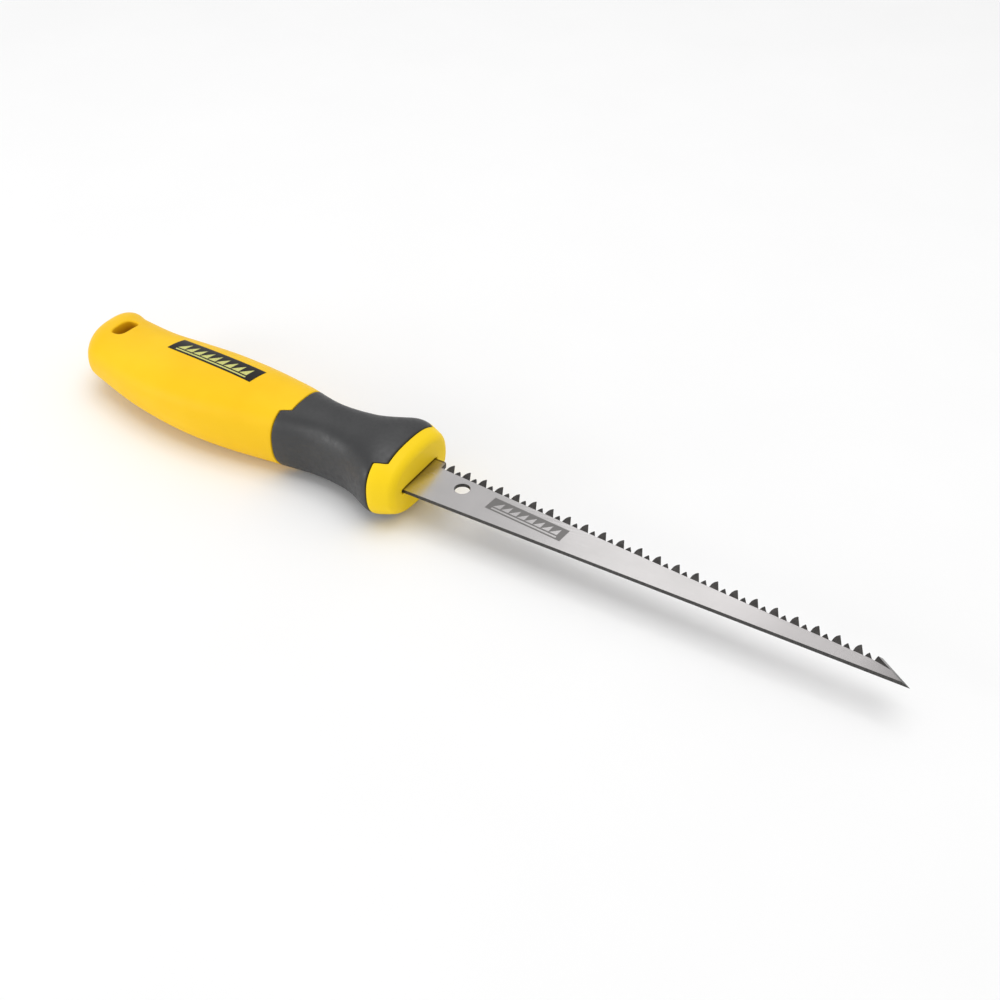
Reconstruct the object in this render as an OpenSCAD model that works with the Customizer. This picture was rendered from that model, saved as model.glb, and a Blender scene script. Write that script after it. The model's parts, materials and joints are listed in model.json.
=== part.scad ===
// Jab saw for plasterboard: a tapered steel blade insert-moulded into a hard plastic handle,
// with a soft rubber grip moulded round the handle's waist.
// The saw lies on its side: +X runs to the blade's tip, +Y to the teeth, +Z up through the blade's
// face. The origin is at the bottom centre of the whole saw's box.

/* [Blade] */
// Length of blade outside the handle
blade_l = 163; // [120:1:180]
// Width of the blade at the handle, to the tooth tips
blade_w = 19.1; // [18:0.1:22]
// Thickness of the steel
blade_t = 1.3; // [0.9:0.1:1.6]
// Taper of the toothed edge towards the spine, in degrees
taper = 4.7; // [3:0.1:4.9]
// Distance between neighbouring teeth, 8 to the inch
pitch = 3.175; // [2.5:0.025:4]
// Depth of a large tooth
tooth_d = 3.2; // [2:0.1:3.4]
// How much shorter the small teeth are, which lean down
tooth_drop = 0.7; // [0:0.1:1]
// Angle by which the teeth lean to either side, in degrees
tooth_set = 6; // [0:0.5:9]
// Diameter of the round hole in the blade
hole_d = 5; // [3:0.1:6]

/* [Handle] */
// Length of the handle
handle_l = 148.5; // [144:0.5:154]
// Width of the palm swell
palm_w = 35; // [30:0.5:38]
// Thickness of the palm swell
palm_t = 26; // [22:0.5:30]
// Width of the waist under the forefinger
waist_w = 21; // [19:0.5:25]
// Width of the flare in front of the waist
flare_w = 38; // [34:0.5:40]
// Squareness of the cross-sections, where 2 is an ellipse
squareness = 2.5; // [2.2:0.1:3]

/* [Grip] */
// Thickness of the rubber
grip_t = 2.2; // [1.5:0.1:3]
// Distance from the front face to the rubber, on the narrow sides
grip_front = 8.7; // [8:0.1:10]
// Distance from the front face to the rubber's rear edge, on the narrow sides
grip_rear = 50.8; // [46:0.1:54]
// How far the rubber's front edge steps forward on the broad faces
step_front = 4.2; // [2:0.1:4.6]
// How far the rubber's rear edge steps forward on the broad faces
step_rear = 3.7; // [2:0.1:5]

/* [Label] */
// Length of the label
label_l = 41.5; // [30:0.5:44]
// Width of the label
label_w = 7.8; // [5:0.1:9]

/* [Hidden] */

// The rounded butt: its length, and how far it leans towards the teeth
butt_l = 12;
butt_lean = 7.5;
// The rounded front edge of the collar
front_r = 2;
// Outlines of the handle, each as [distance behind the front face, value] where its shape turns.
// Offset of the narrow side that lies beyond the spine
near_edge = [
    [0, flare_w / 2 - 3.2],
    [9, flare_w / 2 - 0.7],
    [14, flare_w / 2 - 3.1],
    [22, waist_w / 2 + 1.5],
    [36, waist_w / 2 - 0.5],
    [52, palm_w / 2 - 5.4],
    [84, palm_w / 2 - 1.9],
    [110, palm_w / 2 - 4.1],
    [handle_l - butt_l, palm_w / 2 - 10.8],
];
// Offset of the narrow side that lies beyond the teeth
far_edge = [
    [0, flare_w / 2 - 2.5],
    [9, flare_w / 2 + 0.4],
    [14, flare_w / 2 - 2.6],
    [22, waist_w / 2 + 2.1],
    [36, waist_w / 2 + 0.7],
    [52, palm_w / 2 - 2.4],
    [84, palm_w / 2 + 2.1],
    [102, palm_w / 2 + 2.8],
    [118, palm_w / 2 + 3.1],
    [handle_l - butt_l, palm_w / 2 + 5.9],
];
// Half of the thickness
half_t = [
    [0, palm_t / 2 - 2.8],
    [9, palm_t / 2],
    [22, palm_t / 2 - 0.4],
    [34, palm_t / 2 - 0.5],
    [50, palm_t / 2 - 0.2],
    [70, palm_t / 2],
    [90, palm_t / 2 - 1.1],
    [112, palm_t / 2 - 2.9],
    [handle_l - butt_l, palm_t / 2 - 4.9],
];

// Slices along the handle and points round each slice
butt_slices = 8;
front_slices = 4;
ring_n = 56;
// Where the plain palm swell starts
swell_x = grip_rear + 5;
// Angles above the narrow side at which the rubber's edges step: beyond the spine, beyond the teeth
step_angle_front = [51, 36];
step_angle_rear = [62, 36];
// How far the rubber's rear edge bows back on the narrow sides
rear_bow = 1;

// Hanging hole: centre behind the front face, centre towards the teeth, length and width
hang_x = 133.3;
hang_y = 9.9;
hang_l = 6.2;
hang_w = 9.8;
hang_r = 1.9;

// Label centre and its tilt, and how deep it is let in
label_x = 87.3;
label_y = 6.1;
label_tilt = -7.5;
label_sink = 0.2;
label_proud = 0.1;

// Tang inside the handle
tang_l = 62;
tang_w = 13;
tang_hole_d = 5;
tang_hole_x = [22, 46];

// Blade outline: the spine's offset at the handle, and its fall towards the tip in degrees
spine_y = -9.75;
spine_fall = 0.25;
heel_l = 4.6;
heel_r = 1.6;
heel_gap = 0.9;
first_tip_x = 7.65;
// Outlines of the teeth, from the back over the tip to the front, each point as
// [share of the pitch in front of the tooth's place, share of its height]
big_tooth = [
    [-0.46, 0],
    [-0.45, 0.15],
    [-0.4, 0.5],
    [-0.28, 0.77],
    [-0.15, 0.92],
    [-0.04, 1],
    [0, 1],
    [0.49, -0.04],
];
small_tooth = [
    [-0.37, 0],
    [-0.31, 0.5],
    [-0.16, 1],
    [-0.11, 1],
    [0.29, -0.04],
];
// How deep the teeth are rooted in the plate
tooth_root = 0.35;
// Shortest run of the slanted end, the width of the bevel on it, and the land left under the bevel
tip_run = 9.5;
tip_bevel = 1.5;
tip_land = 0.15;
// Pitch of the teeth along X, and how many there are, of which the last is a corner of the plate
step_x = pitch * cos(taper);
tooth_n = floor((blade_l - tip_run - first_tip_x) / step_x) + 1;
blade_hole_x = 15.7;
blade_hole_y = 0.2;

// Box of the whole saw, which places the origin
side_min = min([for (x = [0 : 0.5 : handle_l]) edge_at(x, -1)]);
side_max = max([for (x = [0 : 0.5 : handle_l]) edge_at(x, 1)]);
belly = max([for (x = [0 : 0.5 : handle_l]) half_h(x)]);
origin_shift = [(handle_l - blade_l) / 2, -(side_min + side_max) / 2, belly];

// Smooth curve through the points of an outline
function gap_index(t, x, i = 0) =
    i >= len(t) - 2 || x <= t[i + 1][0] ? i : gap_index(t, x, i + 1);
function rise(t, i) =
    let (a = max(i - 1, 0), b = min(i + 1, len(t) - 1))
    (t[b][1] - t[a][1]) / (t[b][0] - t[a][0]);
function curve(t, x) =
    let (
        i = gap_index(t, x),
        h = t[i + 1][0] - t[i][0],
        u = (x - t[i][0]) / h,
        u2 = u * u,
        u3 = u2 * u
    )
    (2 * u3 - 3 * u2 + 1) * t[i][1] + (u3 - 2 * u2 + u) * h * rise(t, i)
    + (3 * u2 - 2 * u3) * t[i + 1][1] + (u3 - u2) * h * rise(t, i + 1);

// Where x lies in the rounded butt, from 0 at its start to 1 at its end
function butt_u(x) = min(max((x - handle_l + butt_l) / butt_l, 0), 1);
// How much the slice at x is shrunk by the butt's rounding
function butt_k(x) = sqrt(1 - pow(butt_u(x), 2));
// How much the slice at x is drawn in by the collar's rounded front edge
function front_k(x) =
    x >= front_r ? 0 : front_r - sqrt(pow(front_r, 2) - pow(front_r - x, 2));
// Centre, half-width and half-thickness of the slice at x
function mid_y(x) =
    let (c = min(x, handle_l - butt_l))
    (curve(far_edge, c) - curve(near_edge, c)) / 2 + butt_lean * butt_u(x);
function half_w(x) =
    let (c = min(x, handle_l - butt_l))
    (curve(far_edge, c) + curve(near_edge, c)) / 2 * butt_k(x) - front_k(x);
function half_h(x) = curve(half_t, min(x, handle_l - butt_l)) * butt_k(x) - front_k(x);
function edge_at(x, side) = mid_y(x) + side * half_w(x);

// One point of the handle's skin, at the angle a in the slice at x, set in by the amount inset
function bulge(v) = sign(v) * pow(abs(v), 2 / squareness);
function skin(x, a, inset = 0) = [
    -x,
    mid_y(x) + (half_w(x) - inset) * bulge(cos(a)),
    (half_h(x) - inset) * bulge(sin(a))
];
// Height of the upper skin over the point x, y
function top_z(x, y) =
    half_h(x) * pow(1 - pow(abs(y - mid_y(x)) / half_w(x), squareness), 1 / squareness);

// Angles round a slice: closer together on the flats, where a superellipse spreads its points
function ring_angle(j) = 360 * j / ring_n - 4 * sin(4 * 360 * j / ring_n);
// 0 on a narrow side and 1 on a broad face, changing quickly at the step
function broad(a, step_angle) =
    let (
        from_side = asin(abs(sin(a))),
        middle = cos(a) < 0 ? step_angle[0] : step_angle[1]
    )
    min(max((from_side - middle + 4) / 8, 0), 1);
function edge_front(a) = grip_front - step_front * broad(a, step_angle_front);
function edge_rear(a) =
    grip_rear - rear_bow * pow(sin(a), 2) - step_rear * broad(a, step_angle_rear);

// Closed solid from a list of rings of ring_n points each, with flat ends, or joined end to end
module ring_solid(rings, loop = false) {
    count = len(rings);
    last = loop ? count - 1 : count - 2;
    sides = [
        for (i = [0 : last], j = [0 : ring_n - 1])
            let (k = (i + 1) % count, m = (j + 1) % ring_n)
            each [
                [i * ring_n + j, i * ring_n + m, k * ring_n + m],
                [i * ring_n + j, k * ring_n + m, k * ring_n + j]
            ]
    ];
    caps = loop ? [] : [
        [for (j = [ring_n - 1 : -1 : 0]) j],
        [for (j = [0 : ring_n - 1]) (count - 1) * ring_n + j]
    ];
    polyhedron([for (r = rings) each r], concat(sides, caps), convexity = 8);
}

function ring_at(xs, inset = 0) = [for (j = [0 : ring_n - 1]) skin(xs[j], ring_angle(j), inset)];
function flat_row(x) = [for (j = [0 : ring_n - 1]) x];
// A row of places part of the way from one edge of the rubber to the other
function grip_row(u) = [
    for (j = [0 : ring_n - 1])
        let (a = ring_angle(j))
        edge_front(a) + u * (edge_rear(a) - edge_front(a))
];
// A row part of the way from the front face's edge to the rubber's front edge
function collar_row(u) = [
    for (j = [0 : ring_n - 1])
        front_r * 0.9 + u * (edge_front(ring_angle(j)) - front_r * 0.9)
];
// A row part of the way from the rubber's rear edge to the start of the plain palm swell
function swell_row(u) = [
    for (j = [0 : ring_n - 1])
        edge_rear(ring_angle(j)) + u * (swell_x - edge_rear(ring_angle(j)))
];

// Steel tang that the plastic is moulded round, as one piece with the blade
module tang() {
    difference() {
        union() {
            translate([-tang_l, -tang_w / 2, -blade_t / 2])
                cube([tang_l, tang_w, blade_t]);
            translate([-14, spine_y, -blade_t / 2])
                cube([15, blade_w - 0.1, blade_t]);
        }
        for (x = tang_hole_x)
            translate([-x, 0, -blade_t])
                cylinder(d = tang_hole_d, h = 2 * blade_t, $fn = 48);
    }
}

function edge_y(x) = spine_y + blade_w - x * tan(taper);
function spine_at(x) = spine_y - x * tan(spine_fall);
function tooth_x(i) = first_tip_x + i * step_x;
last_x = tooth_x(tooth_n - 1);

// Plate of the blade, which ends in the last tooth and the slanted end
module blade_plate() {
    notch_x = heel_l + heel_gap;
    heel_y = edge_y(0) - heel_r;
    linear_extrude(height = blade_t, center = true)
        polygon([
            [0, spine_y],
            [blade_l, spine_at(blade_l)],
            for (k = [len(big_tooth) - 2 : -1 : 0])
                [
                    last_x + big_tooth[k][0] * pitch,
                    edge_y(last_x) - tooth_d * (1 - big_tooth[k][1])
                ],
            [notch_x, edge_y(notch_x) - tooth_d],
            for (a = [0 : 15 : 90])
                [heel_l - heel_r + heel_r * cos(a), heel_y + heel_r * sin(a)],
            [0, edge_y(0)],
        ]);
}

// One tooth, leaning up or down about its root
module tooth(i) {
    up = i % 2 == 0;
    outline = up ? big_tooth : small_tooth;
    height = up ? tooth_d : tooth_d - tooth_drop;
    front = outline[len(outline) - 1][0] * pitch;
    back = outline[0][0] * pitch;
    translate([tooth_x(i), edge_y(tooth_x(i)) - tooth_d, 0])
        rotate([up ? tooth_set : -tooth_set, 0, 0])
            translate([0, 0, -blade_t / 2])
                linear_extrude(height = blade_t)
                    polygon([
                        for (p = outline) [p[0] * pitch, p[1] * height],
                        [front, -tooth_root],
                        [back, -tooth_root],
                    ]);
}

// What is ground off the slanted end from above, which leaves the edge at the underside
module end_grind() {
    rise = edge_y(last_x) - spine_at(blade_l);
    run = last_x - blade_l;
    slope = (blade_t - tip_land) / tip_bevel;
    translate([blade_l, spine_at(blade_l), 0])
        rotate([0, 0, atan2(rise, run)])
            translate([-tip_bevel, 0, 0])
                rotate([90, 0, 90])
                    linear_extrude(height = norm([rise, run]) + 3 * tip_bevel)
                        polygon([
                            [0, tip_land - blade_t / 2],
                            [2 * tip_bevel, tip_land - blade_t / 2 + 2 * tip_bevel * slope],
                            [-tip_bevel, tip_land - blade_t / 2 + 2 * tip_bevel * slope],
                            [-tip_bevel, tip_land - blade_t / 2],
                        ]);
}

module blade() {
    color("silver")
        translate(origin_shift)
            union() {
                difference() {
                    union() {
                        blade_plate();
                        for (i = [0 : tooth_n - 2])
                            tooth(i);
                    }
                    end_grind();
                    translate([blade_hole_x, blade_hole_y, -blade_t])
                        cylinder(d = hole_d, h = 2 * blade_t, $fn = 64);
                }
                tang();
            }
}

// Hanging hole with rounded corners, right through the butt
module hang_hole() {
    translate([-hang_x, hang_y, -palm_t / 2])
        linear_extrude(height = palm_t) {
            square([hang_l, hang_w - 2 * hang_r], center = true);
            square([hang_l - 2 * hang_r, hang_w], center = true);
            for (sx = [-1, 1], sy = [-1, 1])
                translate([sx * (hang_l / 2 - hang_r), sy * (hang_w / 2 - hang_r)])
                    circle(r = hang_r, $fn = 48);
        }
}

// Label that follows the curve of the palm swell, from the depth low to the height high
module label_slab(low, high) {
    nx = 12;
    ny = 4;
    c = cos(label_tilt);
    s = sin(label_tilt);
    spots = [
        for (i = [0 : nx], j = [0 : ny])
            let (
                u = (i / nx - 0.5) * label_l,
                v = (j / ny - 0.5) * label_w,
                x = label_x - u * c + v * s,
                y = label_y + u * s + v * c
            )
            [x, y]
    ];
    base = len(spots);
    points = concat(
        [for (p = spots) [-p[0], p[1], top_z(p[0], p[1]) - low]],
        [for (p = spots) [-p[0], p[1], top_z(p[0], p[1]) + high]]
    );
    rim = concat(
        [for (i = [0 : nx]) i * (ny + 1)],
        [for (j = [1 : ny]) nx * (ny + 1) + j],
        [for (i = [nx - 1 : -1 : 0]) i * (ny + 1) + ny],
        [for (j = [ny - 1 : -1 : 1]) j]
    );
    rim_n = len(rim);
    faces = concat(
        [
            for (i = [0 : nx - 1], j = [0 : ny - 1])
                let (q = i * (ny + 1) + j, r = q + ny + 1)
                each [
                    [q, r + 1, q + 1],
                    [q, r, r + 1],
                    [base + q, base + q + 1, base + r + 1],
                    [base + q, base + r + 1, base + r]
                ]
        ],
        [
            for (k = [0 : rim_n - 1])
                let (a = rim[k], b = rim[(k + 1) % rim_n])
                each [
                    [a, b + base, b],
                    [a, a + base, b + base]
                ]
        ]
    );
    polyhedron(points, faces, convexity = 4);
}

// Hard plastic moulding: collar, neck under the rubber, palm swell and butt
module core_solid() {
    front = [
        for (i = [0 : front_slices])
            flat_row(front_r * (1 - cos(90 * i / front_slices)) * 0.9)
    ];
    palm_end = handle_l - butt_l;
    palm = [for (i = [1 : 14]) flat_row(swell_x + (palm_end - swell_x) * i / 14)];
    butt = [
        for (i = [1 : butt_slices])
            flat_row(palm_end + butt_l * sin(88 * i / butt_slices))
    ];
    rings = concat(
        [for (r = front) ring_at(r)],
        [for (u = [0.5, 1]) ring_at(collar_row(u))],
        [for (u = [0 : 1 / 6 : 1.01]) ring_at(grip_row(u), grip_t)],
        [for (u = [0, 0.5, 1]) ring_at(swell_row(u))],
        [for (r = palm) ring_at(r)],
        [for (r = butt) ring_at(r)]
    );
    ring_solid(rings);
}

module handle_core() {
    color("gold")
        translate(origin_shift)
            difference() {
                core_solid();
                hang_hole();
                tang();
                label_slab(label_sink, 1);
            }
}

// Rubber sleeve: its skin is level with the hard plastic at both edges
module grip_sleeve() {
    slices = 14;
    color("dimgray")
        translate(origin_shift)
            ring_solid(
                concat(
                    [for (i = [0 : slices]) ring_at(grip_row(i / slices))],
                    [for (u = [1 : -1 / 6 : -0.01]) ring_at(grip_row(u), grip_t)]
                ),
                loop = true
            );
}

module handle_label() {
    color("black")
        translate(origin_shift)
            label_slab(label_sink, label_proud);
}

blade();
handle_core();
grip_sleeve();
handle_label();
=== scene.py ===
"""The looks of a jab saw for plasterboard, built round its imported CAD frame.

Shapes are worked out in the saw's own millimetres: x runs from the collar's front face to the
blade's tip, so the handle has negative x; y runs from the handle's axis towards the teeth; z is
measured from the middle of the blade's steel. to_row() turns them into the frame's metres.
"""

import json
import math

import bmesh
import bpy
import numpy as np
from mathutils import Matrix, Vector
from mathutils.geometry import delaunay_2d_cdt


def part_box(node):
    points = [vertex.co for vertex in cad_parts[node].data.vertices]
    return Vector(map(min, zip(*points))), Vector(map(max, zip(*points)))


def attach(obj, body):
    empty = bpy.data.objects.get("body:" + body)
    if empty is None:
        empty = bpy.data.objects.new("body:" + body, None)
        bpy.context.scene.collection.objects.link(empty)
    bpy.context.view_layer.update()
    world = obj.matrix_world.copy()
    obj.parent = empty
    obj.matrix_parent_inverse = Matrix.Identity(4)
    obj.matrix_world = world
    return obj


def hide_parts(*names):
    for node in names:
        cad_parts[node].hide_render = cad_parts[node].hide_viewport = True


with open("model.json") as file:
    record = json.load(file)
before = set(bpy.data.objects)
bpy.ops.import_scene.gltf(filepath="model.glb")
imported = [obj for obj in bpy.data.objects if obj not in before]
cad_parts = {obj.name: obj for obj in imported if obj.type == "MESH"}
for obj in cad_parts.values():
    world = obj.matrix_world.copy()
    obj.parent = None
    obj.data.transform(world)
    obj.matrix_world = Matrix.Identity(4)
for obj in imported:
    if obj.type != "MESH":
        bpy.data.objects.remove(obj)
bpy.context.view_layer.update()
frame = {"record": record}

MM = 0.001

# ---------------------------------------------------------------- places taken from the frame

mounts = {m["name"]: m for m in frame["record"]["mounts"]}
core_low, core_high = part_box("handle_core")
blade_low, blade_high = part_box("blade")

HANDLE_L = (core_high.x - core_low.x) / MM
BLADE_L = (blade_high.x - core_high.x) / MM
SPINE_Y = -9.75
SPINE_FALL = math.radians(0.25)
TIP_Y = SPINE_Y - BLADE_L * math.tan(SPINE_FALL)
ORIGIN = Vector((core_high.x, blade_low.y - TIP_Y * MM, mounts["blade_hole"]["pos_m"][2]))
HOLE = [v / MM for v in Vector(mounts["blade_hole"]["pos_m"]) - ORIGIN]
HOLE_R = mounts["blade_hole"]["dims"]["r_mm"]
HANG = [v / MM for v in Vector(mounts["hanging_hole"]["pos_m"]) - ORIGIN]


def to_row(points):
    """Saw millimetres to row metres."""
    return np.asarray(points, float) * MM + np.array(ORIGIN)


# ---------------------------------------------------------------- the handle's skin

PALM_W = 35
PALM_T = 26
WAIST_W = 21
FLARE_W = 38
SQUARENESS = 2.5
BUTT_L = 12
BUTT_LEAN = 7.5
FRONT_R = 2
PALM_END = HANDLE_L - BUTT_L

# Outlines, each as (distance behind the front face, value) where the shape turns
NEAR_EDGE = [
    (0, FLARE_W / 2 - 3.2),
    (9, FLARE_W / 2 - 0.7),
    (14, FLARE_W / 2 - 3.1),
    (22, WAIST_W / 2 + 1.5),
    (36, WAIST_W / 2 - 0.5),
    (52, PALM_W / 2 - 5.4),
    (84, PALM_W / 2 - 1.9),
    (110, PALM_W / 2 - 4.1),
    (PALM_END, PALM_W / 2 - 10.8),
]
FAR_EDGE = [
    (0, FLARE_W / 2 - 2.5),
    (9, FLARE_W / 2 + 0.4),
    (14, FLARE_W / 2 - 2.6),
    (22, WAIST_W / 2 + 2.1),
    (36, WAIST_W / 2 + 0.7),
    (52, PALM_W / 2 - 2.4),
    (84, PALM_W / 2 + 2.1),
    (102, PALM_W / 2 + 2.8),
    (118, PALM_W / 2 + 3.1),
    (PALM_END, PALM_W / 2 + 5.9),
]
HALF_T = [
    (0, PALM_T / 2 - 2.8),
    (9, PALM_T / 2),
    (22, PALM_T / 2 - 0.4),
    (34, PALM_T / 2 - 0.5),
    (50, PALM_T / 2 - 0.2),
    (70, PALM_T / 2),
    (90, PALM_T / 2 - 1.1),
    (112, PALM_T / 2 - 2.9),
    (PALM_END, PALM_T / 2 - 4.9),
]
# Keeps the blended outlines inside the frame's box
SNUG = 0.996
FINE_STEP = 0.25
FINE_X = np.arange(0, HANDLE_L + FINE_STEP, FINE_STEP)
BLEND_MM = 1.6


def through(points):
    """Smooth curve through the points of an outline, at each FINE_X."""
    at = np.array([p[0] for p in points], float)
    value = np.array([p[1] for p in points], float)
    last = len(at) - 1
    before = np.maximum(np.arange(len(at)) - 1, 0)
    after = np.minimum(np.arange(len(at)) + 1, last)
    slope = (value[after] - value[before]) / (at[after] - at[before])
    x = np.minimum(FINE_X, at[-1])
    i = np.clip(np.searchsorted(at, x) - 1, 0, last - 1)
    h = at[i + 1] - at[i]
    u = (x - at[i]) / h
    return (
        (2 * u**3 - 3 * u**2 + 1) * value[i]
        + (u**3 - 2 * u**2 + u) * h * slope[i]
        + (3 * u**2 - 2 * u**3) * value[i + 1]
        + (u**3 - u**2) * h * slope[i + 1]
    )


def softened(values):
    """The same curve with its kinks blended over about BLEND_MM."""
    reach = int(3 * BLEND_MM / FINE_STEP)
    weights = np.exp(-0.5 * (np.arange(-reach, reach + 1) * FINE_STEP / BLEND_MM) ** 2)
    padded = np.pad(values, reach, mode="reflect", reflect_type="odd")
    return np.convolve(padded, weights / weights.sum(), mode="valid")


near_curve = through(NEAR_EDGE)
far_curve = through(FAR_EDGE)
butt_part = np.clip((FINE_X - PALM_END) / BUTT_L, 0, 1)
MID = softened((far_curve - near_curve) / 2 + BUTT_LEAN * butt_part)
WIDE = softened((far_curve + near_curve) / 2) * SNUG
THICK = softened(through(HALF_T))


def butt_k(x):
    """Share of the full section that is left, falling as a quarter ellipse over the butt."""
    return np.sqrt(np.clip(1 - np.clip((x - PALM_END) / BUTT_L, 0, 1) ** 2, 0, 1))


def front_k(x):
    """How far the rounded front edge is drawn in."""
    back = np.clip(FRONT_R - x, 0, FRONT_R)
    return FRONT_R - np.sqrt(FRONT_R**2 - back**2)


def mid_y(x):
    return np.interp(x, FINE_X, MID)


def half_w(x):
    return np.interp(x, FINE_X, WIDE) * butt_k(x) - front_k(x)


def half_h(x):
    return np.interp(x, FINE_X, THICK) * butt_k(x) - front_k(x)


def bulge(v, squareness=SQUARENESS):
    """A cosine or sine bent so that its circle turns into a superellipse."""
    return np.sign(v) * np.abs(v) ** (2 / squareness)


def skin(x, a, inset=0.0):
    """Points of the skin at the distances x behind the front face and the angles a (radians)."""
    x = np.broadcast_to(np.asarray(x, float), a.shape)
    return np.stack(
        [
            -x,
            mid_y(x) + (half_w(x) - inset) * bulge(np.cos(a)),
            (half_h(x) - inset) * bulge(np.sin(a)),
        ],
        axis=1,
    )


def top_z(x, y):
    """Height of the upper skin at the distance x behind the front face and the offset y."""
    share = np.clip(np.abs(y - mid_y(x)) / half_w(x), 0, 1)
    return half_h(x) * (1 - share**SQUARENESS) ** (1 / SQUARENESS)


# ---------------------------------------------------------------- the rubber's edges

GRIP_FRONT = 8.7
GRIP_REAR = 50.8
STEP_FRONT = 4.2
STEP_REAR = 3.7
REAR_BOW = 1.0
# Angles above the narrow side at which the edges step: beyond the teeth, beyond the spine
STEP_ANGLE_FRONT = (36, 51)
STEP_ANGLE_REAR = (36, 62)
STEP_SPREAD = 4.5
GRIP_T = 2.2
HALF_SEAM = 0.12
LIP_R = 0.45


def smooth_step(t):
    t = np.clip(t, 0, 1)
    return t * t * (3 - 2 * t)


def broad(a, step_angle):
    """0 on a narrow side and 1 on a broad face, changing at the step."""
    from_side = np.degrees(np.arcsin(np.clip(np.abs(np.sin(a)), 0, 1)))
    middle = np.where(np.cos(a) > 0, step_angle[0], step_angle[1])
    return smooth_step((from_side - middle + STEP_SPREAD) / (2 * STEP_SPREAD))


def edge_front(a):
    return GRIP_FRONT - STEP_FRONT * broad(a, STEP_ANGLE_FRONT)


def edge_rear(a):
    return GRIP_REAR - REAR_BOW * np.sin(a) ** 2 - STEP_REAR * broad(a, STEP_ANGLE_REAR)


# Points round half a slice, and how they crowd together: times as close, over how many degrees
RING_HALF = 128
CROWD_GAIN = 2.5
CROWD_SPREAD = 6


def ring_angles():
    """Angles round a slice, the same above and below, closer where the rubber's edges step."""
    fine = np.linspace(0, 180, 3601)
    crowd = [STEP_ANGLE_FRONT[0], 180 - STEP_ANGLE_FRONT[1], 180 - STEP_ANGLE_REAR[1], 0, 180]
    crowding = sum(np.exp(-(((fine - c) / CROWD_SPREAD) ** 2)) for c in crowd)
    density = 1 + CROWD_GAIN * crowding
    total = np.concatenate([[0], np.cumsum((density[1:] + density[:-1]) / 2)])
    half = np.interp(np.linspace(0, total[-1], RING_HALF + 1), total, fine)
    return np.radians(np.concatenate([half, 360 - half[-2:0:-1]]))


ANGLES = ring_angles()
RING = len(ANGLES)


# ---------------------------------------------------------------- mesh helpers


def add_object(name, points, faces, slots, smooth_deg=40, indices=None):
    """Object from saw millimetres. slots are its materials, and indices each face's material."""
    mesh = bpy.data.meshes.new(name)
    mesh.from_pydata([tuple(p) for p in to_row(points)], [], [tuple(f) for f in faces])
    for material in slots:
        mesh.materials.append(material)
    if indices is not None:
        mesh.polygons.foreach_set("material_index", indices)
    bm = bmesh.new()
    bm.from_mesh(mesh)
    bmesh.ops.delete(bm, geom=[v for v in bm.verts if not v.link_faces], context="VERTS")
    bmesh.ops.recalc_face_normals(bm, faces=bm.faces)
    bm.to_mesh(mesh)
    bm.free()
    mesh.shade_smooth()
    mesh.set_sharp_from_angle(angle=math.radians(smooth_deg))
    mesh.validate()
    piece = bpy.data.objects.new(name, mesh)
    bpy.context.scene.collection.objects.link(piece)
    return piece


def ring_faces(rows, loop=False):
    """Quads between neighbouring rows of RING points each. A loop's last row joins its first."""
    i, j = np.meshgrid(np.arange(rows if loop else rows - 1), np.arange(RING), indexing="ij")
    k, m = (i + 1) % rows, (j + 1) % RING
    quads = np.stack([i * RING + j, i * RING + m, k * RING + m, k * RING + j], axis=-1)
    return quads.reshape(-1, 4)


# ---------------------------------------------------------------- handle core

BLADE_T = 1.3
STUB_L = 14
TANG_L = 62
TANG_W = 13

SLOT_HALF_W = 10.25
SLOT_HALF_T = 1.0
SLOT_Y = -0.2
SLOT_MOUTH = 1.4
SLOT_EDGE_R = 0.3
SLOT_SQUARENESS = 8
POCKET_CLEAR = 0.03
POCKET_END = 0.1
# Half widths of the blade's seat in the plastic, at its blind end and under the mouth
SEAT_HALF_W = (9.75, 9.78)
# Radians of the front edge's rounding that have rings of their own
ROUNDING_END = 1.5
# Distance behind the rubber over which the skin's rings turn straight
SWELL_BLEND = 6


def slot_ring(x, half_wide, half_thick, centre_y=SLOT_Y):
    """One ring of the slot that the blade comes out of."""
    y = centre_y + half_wide * bulge(np.cos(ANGLES), SLOT_SQUARENESS)
    z = half_thick * bulge(np.sin(ANGLES), SLOT_SQUARENESS)
    return np.stack([np.full(RING, x), y, z], axis=1)


def slot_rows():
    """From the blind end of the tang's pocket out to the front face."""
    tight = BLADE_T / 2 + POCKET_CLEAR
    rows = [
        slot_ring(-TANG_L - POCKET_END, TANG_W / 2 + POCKET_CLEAR, tight, 0),
        slot_ring(-STUB_L, TANG_W / 2 + POCKET_CLEAR, tight, 0),
        slot_ring(-STUB_L, SEAT_HALF_W[0], tight),
        slot_ring(-SLOT_MOUTH, SEAT_HALF_W[1], tight),
        slot_ring(-SLOT_MOUTH, SLOT_HALF_W, SLOT_HALF_T),
    ]
    for t in np.linspace(0, math.pi / 2, 5):
        spread = SLOT_EDGE_R * (1 - math.cos(t))
        x = -SLOT_EDGE_R * (1 - math.sin(t))
        rows.append(slot_ring(x, SLOT_HALF_W + spread, SLOT_HALF_T + spread))
    return rows


def lip_rows(edge, away, inset_to):
    """Rounded lip that ends a skin at the distances edge, going down into the seam.

    away is the side on which the skin lies: -1 is nearer the front face and 1 farther.
    """
    rows = []
    for t in np.linspace(0, math.pi / 2, 6):
        x = edge + away * (HALF_SEAM + LIP_R * (1 - math.sin(t)))
        rows.append(skin(x, ANGLES, LIP_R * (1 - math.cos(t))))
    rows.append(skin(edge + away * HALF_SEAM, ANGLES, inset_to))
    return rows


def between(start, end, count):
    """count places strictly between two rows of distances."""
    return [start + (end - start) * k / (count + 1) for k in range(1, count + 1)]


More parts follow.
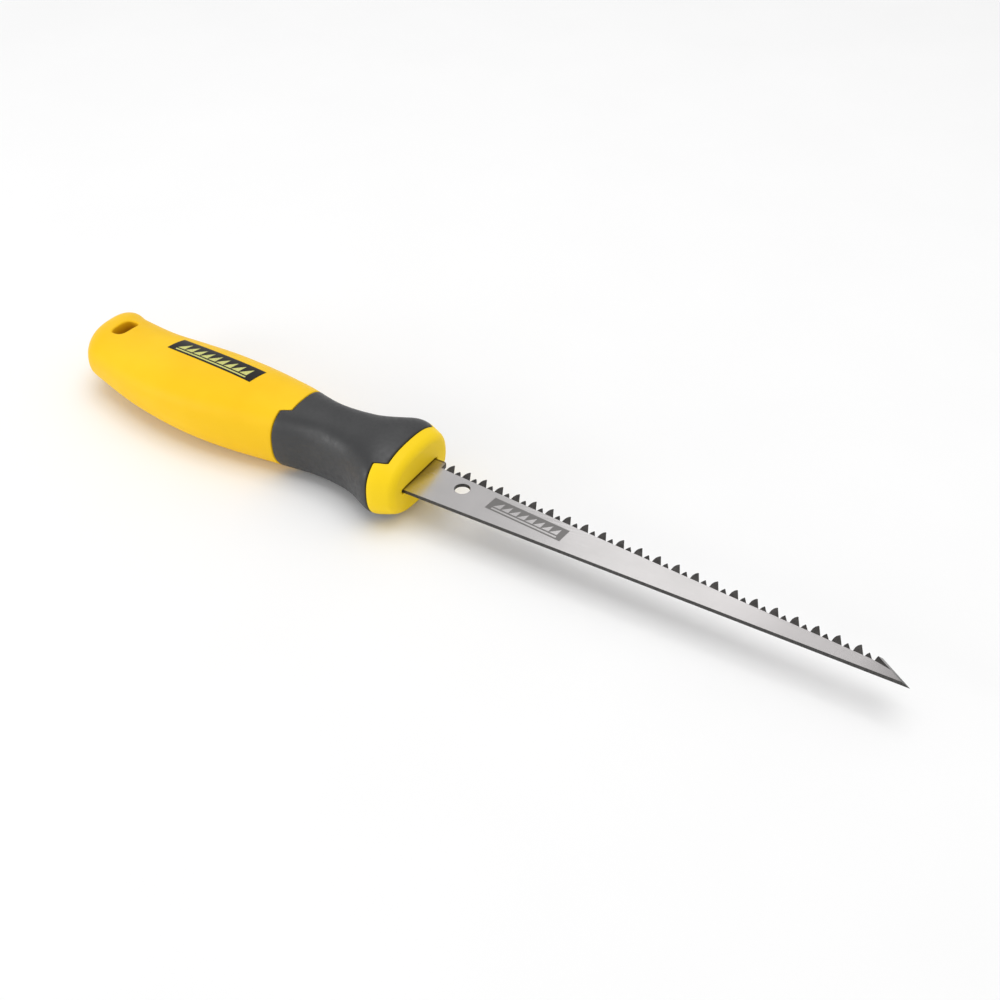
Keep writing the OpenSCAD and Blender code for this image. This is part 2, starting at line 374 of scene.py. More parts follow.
def core_rows():
    """Rings from the tang's pocket out of the slot, over the skin and back to the butt."""
    front, rear = edge_front(ANGLES), edge_rear(ANGLES)
    slot = slot_rows()
    face_edge = skin(0.0, ANGLES)
    face = [slot[-1] + (face_edge - slot[-1]) * s for s in (0.06, 0.2, 0.5, 0.8)]
    turns = np.linspace(0, ROUNDING_END, 9)
    rounding = [skin(FRONT_R * (1 - math.cos(t)), ANGLES) for t in turns]
    collar_start = np.full(RING, FRONT_R * (1 - math.cos(ROUNDING_END)))
    collar_end = front - HALF_SEAM - LIP_R
    collar = [skin(x, ANGLES) for x in between(collar_start, collar_end, 14)]
    floor = [skin(x, ANGLES, GRIP_T) for x in between(front, rear, 6)]
    swell_start = rear + HALF_SEAM + LIP_R
    palm_start = GRIP_REAR + SWELL_BLEND
    swell = [skin(x, ANGLES) for x in between(swell_start, np.full(RING, palm_start), 10)]
    palm = [skin(x, ANGLES) for x in np.linspace(palm_start, PALM_END, 110)]
    butt = [
        skin(PALM_END + BUTT_L * math.sin(t), ANGLES)
        for t in np.linspace(0, math.pi / 2, 40)[1:-1]
    ]
    rear_lip = lip_rows(rear, 1, GRIP_T)[::-1]
    rows = slot + face + rounding + collar + lip_rows(front, -1, GRIP_T) + floor + rear_lip
    return rows + swell + palm + butt


HANG_HALF = (3.1, 4.9)
HANG_SQUARENESS = 3.2
HANG_EDGE_R = 0.6
# The patch of skin that is made anew round the hole: how far it reaches towards the grip and
# towards the butt, between which angles, and how its rings crowd towards the hole
PATCH_REACH = (8.5, 8.2)
PATCH_ANGLES = (50, 118)
PATCH_EASE = 1.6


def hang_outline(angle, grow=0.0):
    """Distance from the hanging hole's centre to its wall, in the direction angle."""
    a, b = HANG_HALF[0] + grow, HANG_HALF[1] + grow
    n = HANG_SQUARENESS
    return (np.abs(np.cos(angle) / a) ** n + np.abs(np.sin(angle) / b) ** n) ** (-1 / n)


def cut_hanging_hole(points, faces, row_x):
    """Replaces a patch of the upper and lower skin by one with the hole in it, and joins them."""
    first = int(np.argmin(np.abs(row_x - (-HANG[0] - PATCH_REACH[0]))))
    last = int(np.argmin(np.abs(row_x - (-HANG[0] + PATCH_REACH[1]))))
    low, high = (int(np.argmin(np.abs(np.degrees(ANGLES) - a))) for a in PATCH_ANGLES)
    rim = [(first, j) for j in range(low, high)]
    rim += [(i, high) for i in range(first, last)]
    rim += [(last, j) for j in range(high, low, -1)]
    rim += [(i, low) for i in range(last, first, -1)]
    quad_row, quad_col = faces[:, 0] // RING, faces[:, 0] % RING
    other_low, other_high = RING - high, RING - low
    in_rows = (quad_row >= first) & (quad_row < last)
    above = in_rows & (quad_col >= low) & (quad_col < high)
    below = in_rows & (quad_col >= other_low) & (quad_col < other_high)
    faces = [tuple(f) for f in faces[~(above | below)]]
    top = [i * RING + j for i, j in rim]
    bottom = [i * RING + (RING - j) % RING for i, j in rim]
    count = len(rim)
    edge = points[top]
    angle = np.arctan2(edge[:, 1] - HANG[1], edge[:, 0] - HANG[0])
    ray = np.stack([np.cos(angle), np.sin(angle)], axis=1)
    centre = np.array(HANG[:2])
    mouth = centre + ray * hang_outline(angle, HANG_EDGE_R)[:, None]
    rings = []
    for s in np.linspace(0, 1, 12)[1:]:
        at = edge[:, :2] + (mouth - edge[:, :2]) * (1 - (1 - s) ** PATCH_EASE)
        rings.append(np.column_stack([at, top_z(-at[:, 0], at[:, 1])]))
    mouth_z = top_z(-mouth[:, 0], mouth[:, 1])
    for t in np.linspace(0, math.pi / 2, 8)[1:]:
        at = centre + ray * hang_outline(angle, HANG_EDGE_R * (1 - math.sin(t)))[:, None]
        rings.append(np.column_stack([at, mouth_z - HANG_EDGE_R * (1 - math.cos(t))]))
    wall = rings[-1]
    depths = [wall * [1, 1, s] for s in np.linspace(1, -1, 12)[1:-1]]
    mirror = [r * [1, 1, -1] for r in rings[::-1]]
    added = rings + depths + mirror
    base = len(points)
    loops = [[base + k * count + c for c in range(count)] for k in range(len(added))]
    loops = [top] + loops + [bottom]
    for one, two in zip(loops, loops[1:]):
        for c in range(count):
            d = (c + 1) % count
            faces.append((one[c], one[d], two[d], two[c]))
    return np.concatenate([points] + added), faces


def build_core(materials):
    rows = core_rows()
    points = np.concatenate(rows)
    row_x = np.array([-r[0, 0] for r in rows])
    # The slot's rings lie inside, so no distance along the skin may find them
    row_x[:len(slot_rows())] = -1
    points, faces = cut_hanging_hole(points, ring_faces(len(rows)), row_x)
    # The pocket's blind end, then a fan of triangles that closes the butt
    faces.append(tuple(range(RING)))
    end = skin(HANDLE_L - 0.01, ANGLES).mean(axis=0)
    end[0] = -HANDLE_L
    pole = len(points)
    points = np.concatenate([points, [end]])
    last = (len(rows) - 1) * RING
    faces += [(last + j, last + (j + 1) % RING, pole) for j in range(RING)]
    return add_object("handle_body", points, faces, materials, smooth_deg=50)


# ---------------------------------------------------------------- grip

# The sleeve's inner side: how far it stays off the core's floor, and its ends off the seams
SLEEVE_CLEAR = 0.05
SLEEVE_END = 0.3


def build_grip(materials):
    front, rear = edge_front(ANGLES), edge_rear(ANGLES)
    start = front + HALF_SEAM + LIP_R
    end = rear - HALF_SEAM - LIP_R
    outer = [skin(x, ANGLES) for x in between(start, end, 90)]
    depth = GRIP_T - SLEEVE_CLEAR
    inner_x = between(front + SLEEVE_END, rear - SLEEVE_END, 6)
    inner = [skin(x, ANGLES, depth) for x in inner_x]
    front_lip = lip_rows(front, 1, depth)[::-1]
    rear_lip = lip_rows(rear, -1, depth)
    rows = front_lip + outer + rear_lip + inner[::-1]
    faces = ring_faces(len(rows), loop=True)
    return add_object("waist_grip", np.concatenate(rows), faces, materials, smooth_deg=50)


# ---------------------------------------------------------------- label

LABEL_X = 87.3
LABEL_Y = 6.1
LABEL_L = 41.5
LABEL_W = 7.8
LABEL_TILT = math.radians(-7.5)
LABEL_PROUD = 0.1
LABEL_SUNK = 0.15
LABEL_CELLS = (120, 26)


def build_label(materials):
    """Thin film that follows the palm swell."""
    nu, nv = LABEL_CELLS
    across = nv + 1
    u, v = np.meshgrid(
        np.linspace(-0.5, 0.5, nu + 1) * LABEL_L,
        np.linspace(-0.5, 0.5, across) * LABEL_W,
        indexing="ij",
    )
    x = LABEL_X - u * math.cos(LABEL_TILT) + v * math.sin(LABEL_TILT)
    y = LABEL_Y + u * math.sin(LABEL_TILT) + v * math.cos(LABEL_TILT)
    z = top_z(x, y)
    upper = np.stack([-x, y, z + LABEL_PROUD], axis=-1).reshape(-1, 3)
    lower = np.stack([-x, y, z - LABEL_SUNK], axis=-1).reshape(-1, 3)
    i, j = np.meshgrid(np.arange(nu), np.arange(nv), indexing="ij")
    corner = i * across + j
    cells = [corner, corner + across, corner + across + 1, corner + 1]
    quads = np.stack(cells, axis=-1).reshape(-1, 4)
    base = len(upper)
    rim = [k * across for k in range(nu)]
    rim += [nu * across + k for k in range(nv)]
    rim += [k * across + nv for k in range(nu, 0, -1)]
    rim += list(range(nv, 0, -1))
    walls = [(a, b, b + base, a + base) for a, b in zip(rim, rim[1:] + rim[:1])]
    faces = [tuple(q) for q in quads] + [tuple(q + base) for q in quads] + walls
    return add_object("label_strip", np.concatenate([upper, lower]), faces, materials)


# ---------------------------------------------------------------- blade

TAPER = math.radians(4.7)
PITCH = 3.175
STEP_X = PITCH * math.cos(TAPER)
BLADE_W = 19.1
TOOTH_D = 3.2
SMALL_D = 2.5
TOOTH_SET = math.radians(6)
FIRST_TIP_X = 7.65
HEEL_L = 4.6
HEEL_R = 1.6
HEEL_GAP = 0.9
# Outlines of the teeth from the back over the tip to the front, each point as
# (share of the pitch in front of the tooth's place, share of its height)
BIG_TOOTH = [
    (-0.46, 0),
    (-0.45, 0.15),
    (-0.4, 0.5),
    (-0.28, 0.77),
    (-0.15, 0.92),
    (-0.04, 1),
    (0, 1),
    (0.49, 0),
]
SMALL_TOOTH = [(-0.37, 0), (-0.31, 0.5), (-0.16, 1), (-0.11, 1), (0.29, 0)]
# The notch between the heel and the first tooth: (mm back from its front, mm above the gullets)
NOTCH = ((HEEL_GAP * 0.85, 0.7), (HEEL_GAP * 0.55, 0.2), (0, 0))
TIP_RUN = 9.5
TIP_BEVEL = 1.5
TIP_LAND = 0.15
EDGE_BREAK = 0.1
# How far a tooth's ground face is drawn in at its tip, and how much of that in the next layer
GRIND = 0.3
GRIND_NEXT = 0.8
SHOULDER_DROP = 0.1
TANG_HOLES = (22, 46)
TANG_HOLE_R = 2.5


def edge_y(x):
    """Line of the large teeth's tips."""
    return SPINE_Y + BLADE_W - x * math.tan(TAPER)


def gullet_y(x):
    return edge_y(x) - TOOTH_D


def filled(loops, points):
    """Triangles that fill the first loop of corners, apart from the holes that the others bound."""
    corners = [c for loop in loops for c in loop]
    flat = [Vector(points[c][:2]) for c in corners]
    edges = []
    start = 0
    for loop in loops:
        edges += [(start + k, start + (k + 1) % len(loop)) for k in range(len(loop))]
        start += len(loop)
    _, _, triangles, origin, _, _ = delaunay_2d_cdt(flat, edges, [], 0, 1e-6)
    ends = np.array([[flat[a], flat[b]] for a, b in edges])
    kept = []
    for t in triangles:
        t = [origin[v][0] for v in t]
        x, y = sum((flat[v] for v in t), Vector((0, 0))) / 3
        (x0, y0), (x1, y1) = ends[:, 0].T, ends[:, 1].T
        spans = (y0 > y) != (y1 > y)
        share = (y - y0[spans]) / (y1[spans] - y0[spans])
        crossings = x0[spans] + share * (x1[spans] - x0[spans])
        if np.count_nonzero(crossings > x) % 2:
            kept.append(tuple(corners[v] for v in t))
    return kept


def build_blade(materials):
    """Plate, teeth and tang in one closed mesh of four layers: face, edge break, edge break, face.

    materials are the faces' steel, the sheared edges, the ground teeth and the end's bevel.
    """
    STEEL, EDGE, TEETH, BEVEL = range(4)
    z_of = [BLADE_T / 2, BLADE_T / 2 - EDGE_BREAK, -BLADE_T / 2 + EDGE_BREAK, -BLADE_T / 2]
    broken = (EDGE_BREAK, 0, 0, EDGE_BREAK)
    points = []
    faces = []
    kinds = []

    def column(x, y, inward=(0, 0), pulls=broken, lean=0.0):
        """Adds the four points of one corner of the outline, and gives the first's number."""
        first = len(points)
        for z, pull in zip(z_of, pulls):
            points.append((x + inward[0] * pull, y + inward[1] * pull, z + lean))
        return first

    def wall(a, b, kind):
        """The edge of the plate between two corners."""
        for layer in range(3):
            faces.append((a + layer, b + layer, b + layer + 1, a + layer + 1))
            kinds.append(kind)

    def add_tooth(columns):
        """A tooth on the plate's outline, from the corner at its back to the one at its front."""
        wall(plate[-1], columns[0], TEETH)
        plate.extend([columns[0], columns[-1]])
        for layer in (0, 3):
            faces.append([c + layer for c in columns])
            kinds.append(TEETH)

    plate = []
    for a in np.radians(np.arange(90, -1, -10)):
        out = (math.cos(a), math.sin(a))
        at = (HEEL_L + HEEL_R * (out[0] - 1), edge_y(0) + HEEL_R * (out[1] - 1))
        plate.append(column(*at, (-out[0], -out[1])))
    notch_x = HEEL_L + HEEL_GAP
    for back, lift in NOTCH:
        plate.append(column(notch_x - back, gullet_y(notch_x) + lift))
    for a, b in zip(plate, plate[1:]):
        wall(a, b, EDGE)

    tooth_count = int((BLADE_L - TIP_RUN - FIRST_TIP_X) / STEP_X) + 1
    for k in range(tooth_count - 1):
        x = FIRST_TIP_X + k * STEP_X
        up = k % 2 == 0
        height = TOOTH_D if up else SMALL_D
        grind = (0, 0, GRIND * GRIND_NEXT, GRIND)
        if not up:
            grind = grind[::-1]
        columns = []
        for along, share in BIG_TOOTH if up else SMALL_TOOTH:
            at = x + along * PITCH
            if share == 0:
                columns.append(column(at, gullet_y(at)))
                continue
            lean = share * height * math.sin(TOOTH_SET) * (1 if up else -1)
            ground = [share * g for g in grind]
            columns.append(column(at, gullet_y(x) + share * height, (0, -1), ground, lean))
        for a, b in zip(columns, columns[1:]):
            wall(a, b, TEETH)
        add_tooth(columns)

    # The last tooth runs into the slanted end, which is bevelled from above
    tip = Vector((BLADE_L, TIP_Y))
    last_x = FIRST_TIP_X + (tooth_count - 1) * STEP_X
    last = Vector((last_x, edge_y(last_x)))
    along_end = (tip - last).normalized()
    inward = Vector((along_end.y, -along_end.x))
    bevel_pulls = (TIP_BEVEL, TIP_BEVEL * (1 - EDGE_BREAK / (BLADE_T - TIP_LAND)), 0, EDGE_BREAK)

    def end_column(x, y):
        """A corner cut back, layer by layer, to the bevel's plane."""
        clear = (Vector((x, y)) - tip).dot(inward)
        return column(x, y, inward, [max(0, pull - clear) for pull in bevel_pulls])

    columns = [
        end_column(last_x + along * PITCH, gullet_y(last_x) + share * TOOTH_D)
        for along, share in BIG_TOOTH[:-1]
    ]
    for a, b in zip(columns, columns[1:]):
        wall(a, b, TEETH)
    foot = last + (tip - last) * TOOTH_D / (last.y - tip.y)
    columns.append(end_column(*foot))
    wall(columns[-2], columns[-1], BEVEL)
    add_tooth(columns)
    spine_way = Vector((-math.cos(SPINE_FALL), math.sin(SPINE_FALL)))
    corner = column(*tip, spine_way / spine_way.dot(inward), bevel_pulls)
    wall(plate[-1], corner, BEVEL)

    rest = [
        corner,
        column(0, SPINE_Y, (0, 1)),
        column(-STUB_L, SPINE_Y, (0, 1)),
        column(-STUB_L, -TANG_W / 2),
        column(-TANG_L, -TANG_W / 2),
        column(-TANG_L, TANG_W / 2),
        column(-STUB_L, TANG_W / 2),
        column(-STUB_L, edge_y(0) - SHOULDER_DROP),
        column(0, edge_y(0) - SHOULDER_DROP),
    ]
    outline = plate + rest
    for a, b in zip(rest, rest[1:] + plate[:1]):
        wall(a, b, EDGE)

    def round_hole(cx, cy, r, count=72):
        ring = []
        for t in np.arange(count) * 2 * math.pi / count:
            out = (math.cos(t), math.sin(t))
            ring.append(column(cx + r * out[0], cy + r * out[1], out))
        for a, b in zip(ring, ring[1:] + ring[:1]):
            wall(a, b, EDGE)
        return ring

    holes = [round_hole(HOLE[0], HOLE[1], HOLE_R)]
    holes += [round_hole(-x, 0, TANG_HOLE_R, 36) for x in TANG_HOLES]

    for layer in (0, 3):
        loops = [[c + layer for c in loop] for loop in [outline] + holes]
        triangles = filled(loops, points)
        faces += triangles
        kinds += [STEEL] * len(triangles)
    return add_object("steel_blade", points, faces, materials, smooth_deg=25, indices=kinds)


# ---------------------------------------------------------------- materials


class Shader:
    """A material with a Principled shader, and short ways to add and join nodes."""

    def __init__(self, name):
        self.material = bpy.data.materials.new(name)
        self.material.use_nodes = True
        self.tree = self.material.node_tree
        self.tree.nodes.clear()
        self.out = self.tree.nodes.new("ShaderNodeOutputMaterial")
        self.bsdf = self.tree.nodes.new("ShaderNodeBsdfPrincipled")
        self.tree.links.new(self.bsdf.outputs["BSDF"], self.out.inputs["Surface"])
        self.coords = self.tree.nodes.new("ShaderNodeTexCoord").outputs["Object"]

    def set(self, **values):
        """Constants for the shader's own sockets."""
        for name, value in values.items():
            self.bsdf.inputs[name.replace("_", " ")].default_value = value

    def colour(self, value):
        self.link(value, self.bsdf.inputs["Base Color"])

    def rough(self, value):
        self.link(value, self.bsdf.inputs["Roughness"])

    def link(self, a, b):
        self.tree.links.new(a, b)

    def feed(self, socket, value):
        """Gives a node's socket another socket or a constant."""
        if isinstance(value, bpy.types.NodeSocket):
            self.link(value, socket)
        else:
            socket.default_value = value

    def math(self, operation, a, b=0.0):
        node = self.tree.nodes.new("ShaderNodeMath")
        node.operation = operation
        self.feed(node.inputs[0], a)
        self.feed(node.inputs[1], b)
        return node.outputs[0]

    def placed(self, location=(0, 0, 0), turn=0.0, scale=(1, 1, 1)):
        """Object coordinates seen from a place on the object, turned about Z and scaled."""
        node = self.tree.nodes.new("ShaderNodeMapping")
        node.vector_type = "TEXTURE"
        node.inputs["Location"].default_value = location
        node.inputs["Rotation"].default_value = (0, 0, turn)
        node.inputs["Scale"].default_value = scale
        self.link(self.coords, node.inputs["Vector"])
        return node.outputs[0]

    def split(self, vector):
        node = self.tree.nodes.new("ShaderNodeSeparateXYZ")
        self.link(vector, node.inputs[0])
        return node.outputs

    def saw_mm(self):
        """Sockets with the saw's own x, y and z in millimetres."""
        return self.split(self.placed(tuple(ORIGIN), 0, (MM, MM, MM)))

    def noise(self, size_mm, detail=3.0, roughness=0.5, vector=None):
        """Noise whose blotches are about size_mm across."""
        node = self.tree.nodes.new("ShaderNodeTexNoise")
        self.link(vector or self.coords, node.inputs["Vector"])
        node.inputs["Scale"].default_value = 1 / (size_mm * MM)
        node.inputs["Detail"].default_value = detail
        node.inputs["Roughness"].default_value = roughness
        return node.outputs["Fac"]

    def span(self, value, low, high, to_low=0.0, to_high=1.0):
        """value from low..high to to_low..to_high, held at the ends."""
        node = self.tree.nodes.new("ShaderNodeMapRange")
        self.feed(node.inputs["Value"], value)
        node.inputs["From Min"].default_value = low
        node.inputs["From Max"].default_value = high
        node.inputs["To Min"].default_value = to_low
        node.inputs["To Max"].default_value = to_high
        return node.outputs[0]

    def mix(self, factor, a, b):
        node = self.tree.nodes.new("ShaderNodeMix")
        node.data_type = "RGBA"
        self.feed(node.inputs["Factor"], factor)
        self.feed(node.inputs["A"], a)
        self.feed(node.inputs["B"], b)
        return node.outputs["Result"]

    def bump(self, height, distance_mm, strength):
        node = self.tree.nodes.new("ShaderNodeBump")
        node.inputs["Strength"].default_value = strength
        node.inputs["Distance"].default_value = distance_mm * MM
        self.link(height, node.inputs["Height"])
        self.link(node.outputs["Normal"], self.bsdf.inputs["Normal"])


# The plain motif: how steeply a tooth rises and the share of its pitch that it fills, then the
# height of the teeth's foot in the panel, the bar's drop below it and half the bar's width in mm
MOTIF_RISE = 1.12
MOTIF_FILL = 0.88
MOTIF_FOOT = 1.5
MOTIF_BAR_DROP = 0.95
MOTIF_BAR_HALF = 0.32
PANEL_SOFT = 0.08


def sawtooth_print(s, place, turn, size_mm, teeth, tooth_h_mm):
    """Mask of a plain row of saw teeth over a thin bar, round a place in the row frame."""
    u, v, _ = s.split(s.placed(place, turn, (MM, MM, MM)))
    half_l, half_w = size_mm[0] / 2, size_mm[1] / 2
    pitch = 2 * half_l / teeth
    along = s.math("FRACT", s.math("DIVIDE", s.math("ADD", u, half_l), pitch))
    foot = -half_w + MOTIF_FOOT
    height = s.math("DIVIDE", s.math("SUBTRACT", v, foot), tooth_h_mm)
    under = s.math("LESS_THAN", height, s.math("MULTIPLY", along, MOTIF_RISE))
    above = s.math("GREATER_THAN", height, 0.0)
    filled_share = s.math("LESS_THAN", along, MOTIF_FILL)
    tooth = s.math("MULTIPLY", s.math("MULTIPLY", under, above), filled_share)
    off_bar = s.math("ABSOLUTE", s.math("SUBTRACT", v, foot - MOTIF_BAR_DROP))
    bar = s.math("LESS_THAN", off_bar, MOTIF_BAR_HALF)
    inside = s.math("LESS_THAN", s.math("ABSOLUTE", u), half_l)
    return s.math("MULTIPLY", s.math("MAXIMUM", tooth, bar), inside)


def panel_mask(s, place, turn, size_mm):
    """Mask of a plain rectangle with slightly soft edges."""
    u, v, _ = s.split(s.placed(place, turn, (MM, MM, MM)))
    inside_u = s.math("SUBTRACT", size_mm[0] / 2, s.math("ABSOLUTE", u))
    inside_v = s.math("SUBTRACT", size_mm[1] / 2, s.math("ABSOLUTE", v))
    return s.span(s.math("MINIMUM", inside_u, inside_v), -PANEL_SOFT, PANEL_SOFT)


# Heights between which painted shade begins and is darkest down the hanging hole, and how far
# the painted shade reaches past the hole's wall
HOLE_SHADE_Z = (7.4, 4.5)
HOLE_SHADE_REACH = 0.2


def yellow_plastic():
    """Satin plastic, a little more lemon at the collar than at the palm, with painted shade in the
    hanging hole.
    """
    s = Shader("yellow_plastic")
    blotch = s.noise(22, detail=2)
    palm = s.mix(s.span(blotch, 0.3, 0.7), (0.93, 0.55, 0.008, 1), (0.97, 0.60, 0.014, 1))
    along, across, above = s.saw_mm()
    collar = s.span(along, -GRIP_REAR, -GRIP_FRONT)
    shell = s.mix(collar, palm, (0.98, 0.68, 0.012, 1))
    # Painted shade down the hanging hole: the plastic is painted darker inside it
    from_x = s.math("ABSOLUTE", s.math("SUBTRACT", along, HANG[0]))
    from_y = s.math("ABSOLUTE", s.math("SUBTRACT", across, HANG[1]))
    from_y = s.math("SUBTRACT", from_y, HANG_HALF[1] - HANG_HALF[0])
    beside = s.math("LESS_THAN", s.math("MAXIMUM", from_y, from_x), HANG_HALF[0] + HOLE_SHADE_REACH)
    deep = s.span(s.math("ABSOLUTE", above), HOLE_SHADE_Z[0], HOLE_SHADE_Z[1])
    hole_shade = s.math("MULTIPLY", s.math("MULTIPLY", beside, deep), 0.75)
    s.colour(s.mix(hole_shade, shell, (0.50, 0.22, 0.004, 1)))
    s.rough(s.span(s.noise(3, detail=4), 0.3, 0.7, 0.42, 0.52))
    s.set(Specular_IOR_Level=0.15)
    s.bump(s.noise(0.45, detail=3, roughness=0.6), 0.03, 0.35)
    return s.material


def charcoal_rubber():
    """Dark rubber with a faint haze and a patchy sheen."""
    s = Shader("charcoal_rubber")
    haze = s.span(s.noise(9, detail=5, roughness=0.6), 0.35, 0.7)
    s.colour(s.mix(haze, (0.020, 0.0205, 0.022, 1), (0.027, 0.0275, 0.029, 1)))
    s.rough(s.span(s.noise(1.6, detail=5, roughness=0.65), 0.3, 0.7, 0.38, 0.56))
    s.set(Specular_IOR_Level=0.62)
    s.bump(s.noise(0.3, detail=4, roughness=0.65), 0.04, 0.4)
    return s.material


ETCH_PLACE = (40.6, -2.4)
ETCH_SIZE = (27.8, 5.9)
ETCH_TURN = math.radians(-5)
ETCH_MOTIF = (24.0, 5.0)
ETCH_TEETH = 8
ETCH_TOOTH_H = 2.9
# Painted light along the blade: where each tone sets in and is full, its strength there, its colour
STEEL_PAINTED_LIGHT = [
    (95, 135, 0.8, (0.80, 0.765, 0.765, 1)),
    (148, 162, 0.75, (0.34, 0.325, 0.325, 1)),
]
COLLAR_SHADOW_SLOPE = 0.3
BEVEL_PAINTED_SHADE = (155, 161)


def satin_steel():
    """Steel polished along the blade, etched panel, dark heel rim, painted shadow and light."""
    s = Shader("satin_steel")
    s.set(Metallic=1.0)
    streaks = s.noise(0.12, detail=5, roughness=0.7, vector=s.placed(scale=(60, 1, 1)))
    cloud = s.noise(16, detail=3)
    bare = s.mix(s.span(cloud, 0.3, 0.7), (0.68, 0.66, 0.655, 1), (0.75, 0.725, 0.725, 1))
    bare = s.mix(s.span(streaks, 0.35, 0.65, 0, 0.25), bare, (0.60, 0.59, 0.585, 1))
    along, across, _ = s.saw_mm()
    # Painted light: a brighter painted reflection along the blade, then painted shade towards the
    # point
    for start, full, strength, tone in STEEL_PAINTED_LIGHT:
        bare = s.mix(s.span(along, start, full, 0, strength), bare, tone)

    heel_end = s.span(along, HEEL_L - 0.7, HEEL_L - 0.3)
    heel_top = s.span(across, edge_y(0) - 1.0, edge_y(0) - 0.6)
    on_heel = s.span(across, gullet_y(0) - 0.4, gullet_y(0))
    heel_rim = s.math("MULTIPLY", s.math("MAXIMUM", heel_end, heel_top), on_heel)
    bare = s.mix(heel_rim, bare, (0.07, 0.065, 0.06, 1))

    # Painted shadow and reflection of the collar on the steel beside it, wider towards the teeth
    collar_shadow_x = s.math("MULTIPLY", s.math("SUBTRACT", across, SPINE_Y), COLLAR_SHADOW_SLOPE)
    film = s.span(s.math("SUBTRACT", collar_shadow_x, along), -1.4, 1.6, 0, 0.62)
    bare = s.mix(film, bare, (0.24, 0.20, 0.15, 1))
    unpolished = s.span(along, 4, 11, 0.05, 0)

    place = tuple(to_row((*ETCH_PLACE, 0)))
    panel = panel_mask(s, place, ETCH_TURN, ETCH_SIZE)
    marks = sawtooth_print(s, place, ETCH_TURN, ETCH_MOTIF, ETCH_TEETH, ETCH_TOOTH_H)
    etched = s.math("MULTIPLY", panel, s.math("SUBTRACT", 1.0, marks))
    s.colour(s.mix(s.math("MULTIPLY", etched, 0.85), bare, (0.15, 0.145, 0.14, 1)))
    polish = s.math("ADD", s.span(streaks, 0.3, 0.7, 0.16, 0.24), unpolished)
    s.rough(s.math("ADD", polish, s.math("MULTIPLY", etched, 0.15)))
    s.bump(streaks, 0.002, 0.5)
    return s.material


def sheared_edge():
    """Dark sheared steel, with drag marks across its thickness."""
    s = Shader("sheared_edge")
    s.set(Metallic=1.0)
    drag = s.noise(0.35, detail=4, roughness=0.65, vector=s.placed(scale=(1, 1, 4)))
    s.colour(s.mix(s.span(drag, 0.3, 0.7), (0.050, 0.049, 0.048, 1), (0.115, 0.112, 0.108, 1)))
    s.rough(s.span(drag, 0.3, 0.7, 0.4, 0.55))
    s.bump(drag, 0.03, 0.5)
    return s.material


def ground_teeth():
    """Dark teeth with fine lines from the grinding wheel."""
    s = Shader("ground_teeth")
    s.set(Metallic=1.0)
    lines = s.noise(0.1, detail=4, roughness=0.6, vector=s.placed(scale=(1, 12, 12)))
    tint = s.noise(1.6, detail=2)
    dark = s.mix(s.span(tint, 0.3, 0.7), (0.034, 0.032, 0.031, 1), (0.066, 0.062, 0.060, 1))
    s.colour(s.mix(s.span(lines, 0.4, 0.65, 0, 0.35), dark, (0.14, 0.135, 0.13, 1)))
    s.rough(s.span(lines, 0.3, 0.7, 0.34, 0.5))
    s.bump(lines, 0.01, 0.5)
    return s.material


def ground_bevel():
    """The end's bevel, bright at the last tooth, with painted shade at the point."""
    s = Shader("ground_bevel")
    s.set(Metallic=1.0)
    lines = s.noise(0.12, detail=4, roughness=0.6, vector=s.placed(scale=(1, 1, 10)))
    along, _, _ = s.saw_mm()
    bright = s.mix(s.span(lines, 0.35, 0.65), (0.20, 0.195, 0.195, 1), (0.34, 0.33, 0.33, 1))
    # Painted shade darkens the bevel towards the point
    s.colour(s.mix(s.span(along, *BEVEL_PAINTED_SHADE), bright, (0.035, 0.034, 0.034, 1)))
    s.rough(s.span(lines, 0.3, 0.7, 0.3, 0.42))
    s.bump(lines, 0.01, 0.5)
    return s.material


LABEL_MOTIF = (35.0, 6.6)
LABEL_TEETH = 9
LABEL_TOOTH_H = 4.0


def label_film():
    """Black film printed with the plain motif in worn, greenish ink."""
    s = Shader("label_film")
    place = tuple(to_row((-LABEL_X, LABEL_Y, 0)))
    marks = sawtooth_print(s, place, LABEL_TILT, LABEL_MOTIF, LABEL_TEETH, LABEL_TOOTH_H)
    worn = s.span(s.noise(0.5, detail=4, roughness=0.7), 0.3, 0.42)
    ink = s.math("MULTIPLY", marks, worn)
    patches = s.span(s.noise(4, detail=3), 0.3, 0.7)
    black = s.mix(patches, (0.007, 0.006, 0.005, 1), (0.013, 0.011, 0.009, 1))
    s.colour(s.mix(ink, black, (0.62, 0.62, 0.20, 1)))
    s.rough(s.span(ink, 0, 1, 0.33, 0.5))
    s.set(Specular_IOR_Level=0.2)
    s.bump(s.math("ADD", s.noise(0.6, detail=3), ink), 0.015, 0.4)
    return s.material


# ---------------------------------------------------------------- the saw

body = build_core([yellow_plastic()])
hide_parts("handle_core")

grip = build_grip([charcoal_rubber()])
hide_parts("grip_sleeve")

label = build_label([label_film()])
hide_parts("handle_label")

blade = build_blade([satin_steel(), sheared_edge(), ground_teeth(), ground_bevel()])
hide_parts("blade")

for piece in (body, grip, label, blade):
    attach(piece, "root")

# ---------------------------------------------------------------- stage, camera and lights

scene = bpy.context.scene
scene.view_settings.view_transform = "Standard"
scene.view_settings.look = "None"


def pale_floor():
    s = Shader("pale_floor")
    s.set(Roughness=0.8)
    s.colour(s.mix(s.noise(60, detail=2), (0.93, 0.93, 0.93, 1), (0.96, 0.96, 0.96, 1)))
    return s.material


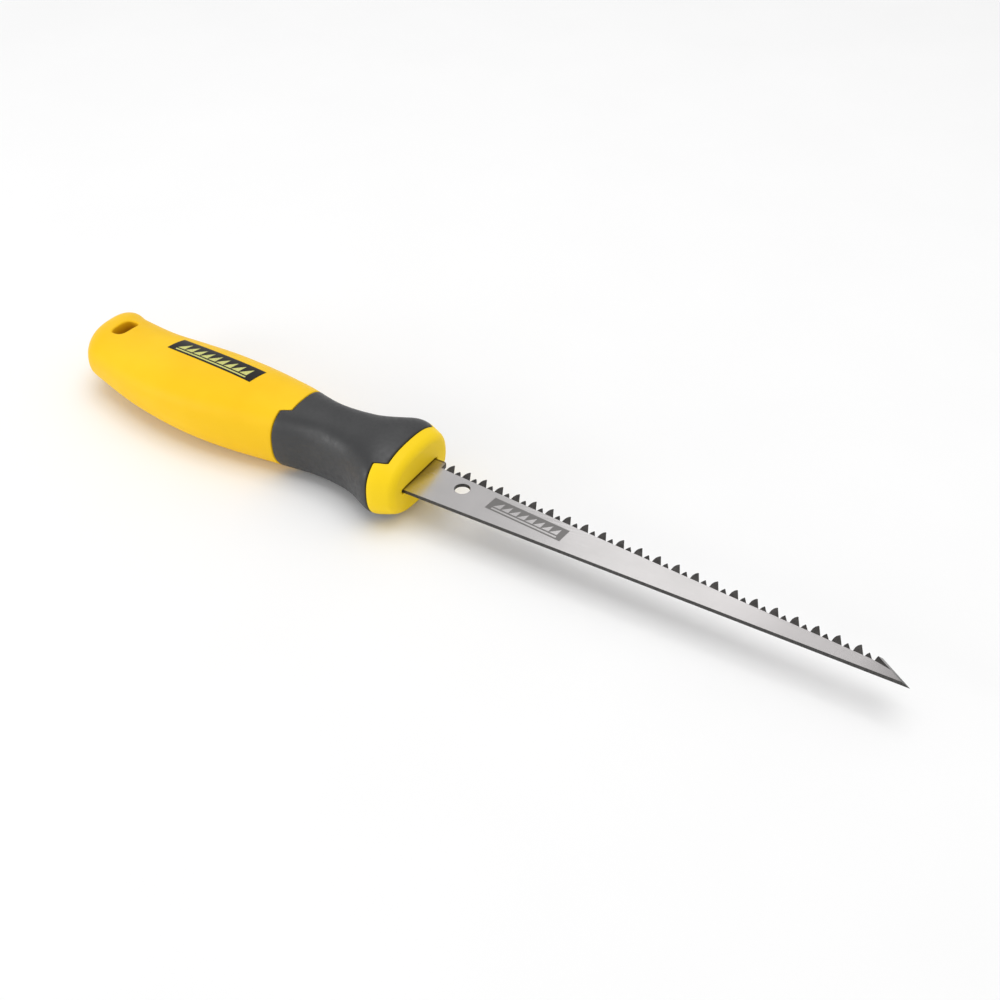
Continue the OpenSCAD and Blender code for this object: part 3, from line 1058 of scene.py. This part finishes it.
FLOOR_SIZE = 8
bpy.ops.mesh.primitive_plane_add(size=FLOOR_SIZE, location=(0, 0, 0))
floor = bpy.context.object
floor.name = "studio_floor"
floor.data.materials.append(pale_floor())

CAMERA_AZIMUTH = math.radians(30.69)
CAMERA_ELEVATION = math.radians(38.83)
CAMERA_DISTANCE = 0.4208
CAMERA_LENS = 48.48
CAMERA_SENSOR = 36
target = Vector(to_row((28.4, 2.1, 0)))
toward = Vector((
    math.sin(CAMERA_AZIMUTH) * math.cos(CAMERA_ELEVATION),
    -math.cos(CAMERA_AZIMUTH) * math.cos(CAMERA_ELEVATION),
    math.sin(CAMERA_ELEVATION),
))
camera = bpy.data.objects.new("camera", bpy.data.cameras.new("camera"))
scene.collection.objects.link(camera)
camera.data.lens = CAMERA_LENS
camera.data.sensor_width = CAMERA_SENSOR
camera.data.clip_start = 0.01
camera.location = target + toward * CAMERA_DISTANCE
camera.rotation_euler = (math.pi / 2 - CAMERA_ELEVATION, 0, CAMERA_AZIMUTH)
scene.camera = camera


def softbox(name, place, size, watts):
    """Rectangular light that faces the saw."""
    light = bpy.data.lights.new(name, "AREA")
    light.shape = "RECTANGLE"
    light.size, light.size_y = size
    light.energy = watts
    lamp = bpy.data.objects.new(name, light)
    scene.collection.objects.link(lamp)
    lamp.location = place
    lamp.rotation_euler = (-Vector(place)).to_track_quat("-Z", "Y").to_euler()


softbox("overhead_softbox", (0.0, 0.0, 1.4), (1.4, 1.0), 7.8)
softbox("top_rear_softbox", (-0.1, 0.55, 1.25), (1.0, 0.5), 1.6)
softbox("shoulder_strip", (-0.88, -0.91, 0.36), (0.6, 0.4), 3.8)
softbox("blade_panel", (-0.35, 1.05, 1.0), (0.3, 0.5), 0.25)
softbox("front_fill", (0.1, -1.3, 0.35), (0.8, 0.4), 0.5)

world = bpy.data.worlds.new("studio")
scene.world = world
world.use_nodes = True
world.node_tree.nodes["Background"].inputs["Color"].default_value = (1, 1, 1, 1)
world.node_tree.nodes["Background"].inputs["Strength"].default_value = 0.6
